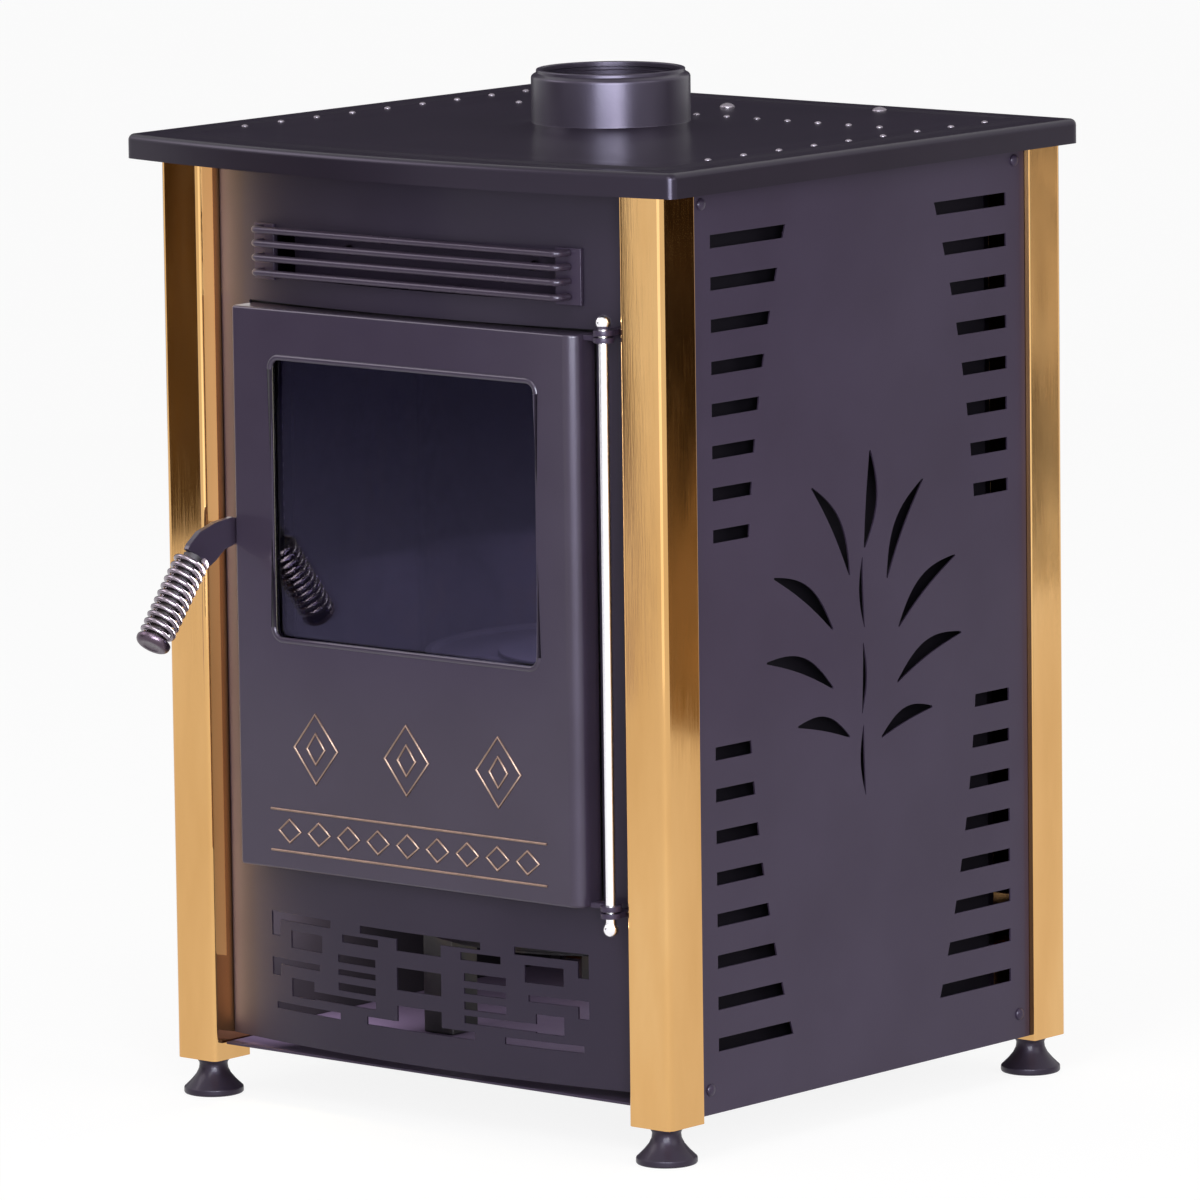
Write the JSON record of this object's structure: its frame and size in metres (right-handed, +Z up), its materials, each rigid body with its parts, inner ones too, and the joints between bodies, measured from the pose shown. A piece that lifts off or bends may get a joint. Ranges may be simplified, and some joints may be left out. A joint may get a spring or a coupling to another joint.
{
  "type": "diesel stove",
  "caption": "Free-standing diesel stove with a bowed front, a glazed hinged door, a sprung wire handle on a lift latch, gold corner posts, slotted sides and a round flue collar.",
  "frame": {"origin": "on the floor, under the middle of the box round the whole stove at rest", "axes": "+Z up, +X to the right as seen from the front, -Y towards the front with the door"},
  "size_m": [0.546, 0.6142, 0.794],
  "materials": {
    "body_paint": "satin dark aubergine grey paint",
    "lid_paint": "satin heat-proof paint",
    "gold_post": "mirror-polished gold",
    "foot_black": "satin black",
    "bright_steel": "polished",
    "door_glass": "smoked ceramic glass",
    "rope": "woven heat-proof rope",
    "cast_iron": "matt",
    "dark_steel": "dull heat-darkened",
    "copper": "drawn copper",
    "brass": "machined brass",
    "knob_black": "moulded, matt"
  },
  "bodies": {
    "cabinet": {"base_pan": "body_paint", "upper_tray": "body_paint", "front_panel": "body_paint", "side_panel_left": "body_paint", "side_panel_right": "body_paint", "back_panel": "body_paint", "louvre_strip_left": "body_paint", "louvre_strip_right": "body_paint", "louvre_bar_1": "body_paint", "louvre_bar_2": "body_paint", "louvre_bar_3": "body_paint", "louvre_bar_4": "body_paint", "outlet_deflector": "body_paint", "hinge_ear_top": "body_paint", "hinge_ear_bottom": "body_paint", "top_plate": "lid_paint", "flue_collar": "lid_paint", "post_front_left": "gold_post", "post_front_right": "gold_post", "post_rear_left": "gold_post", "post_rear_right": "gold_post", "foot_front_left": "foot_black", "foot_front_right": "foot_black", "foot_rear_left": "foot_black", "foot_rear_right": "foot_black", "hinge_rod": "bright_steel", "heat_shield": "bright_steel", "fuel_valve_cover": "bright_steel", "burner_pot": "cast_iron", "burner_ring": "cast_iron", "flame_ring": "cast_iron", "firebox_leg_front_left": "dark_steel", "firebox_leg_front_right": "dark_steel", "firebox_leg_rear_left": "dark_steel", "firebox_leg_rear_right": "dark_steel", "latch_keeper": "dark_steel", "firebox_front_frame": "dark_steel", "firebox_tunnel": "dark_steel", "firebox_drum": "dark_steel", "firebox_top": "dark_steel", "firebox_floor": "dark_steel", "valve_bracket": "dark_steel", "fuel_feed_pipe": "copper", "fuel_inlet_pipe": "copper", "fuel_valve_body": "brass"},
    "door": {"door_shell": "body_paint", "door_glass": "door_glass", "glass_gasket": "rope", "glass_retainer": "dark_steel", "door_inner_frame": "dark_steel", "door_rope_seal": "rope", "door_lug_top": "body_paint", "door_lug_bottom": "body_paint", "lever_pivot_pin": "bright_steel"},
    "latch": {"latch_lever": "body_paint", "handle_core": "dark_steel", "handle_spring": "bright_steel", "handle_end_cap": "bright_steel"},
    "knob": {"flow_knob": "knob_black"}
  },
  "joints": [
    {"name": "door_hinge", "type": "hinge", "parent": "cabinet", "child": "door", "pos_m": [0.195, -0.19691, 0.407], "axis": [0, 0, 1], "range_deg": [0, 110]},
    {"name": "latch_lift", "type": "hinge", "parent": "door", "child": "latch", "pos_m": [-0.1755, -0.19191, 0.449], "axis": [-1, 0, 0], "range_deg": [0, 35]},
    {"name": "flow_turn", "type": "hinge", "parent": "cabinet", "child": "knob", "pos_m": [0.188, 0.29509, 0.1], "axis": [0, 1, 0], "range_deg": [0, 270]}
  ]
}
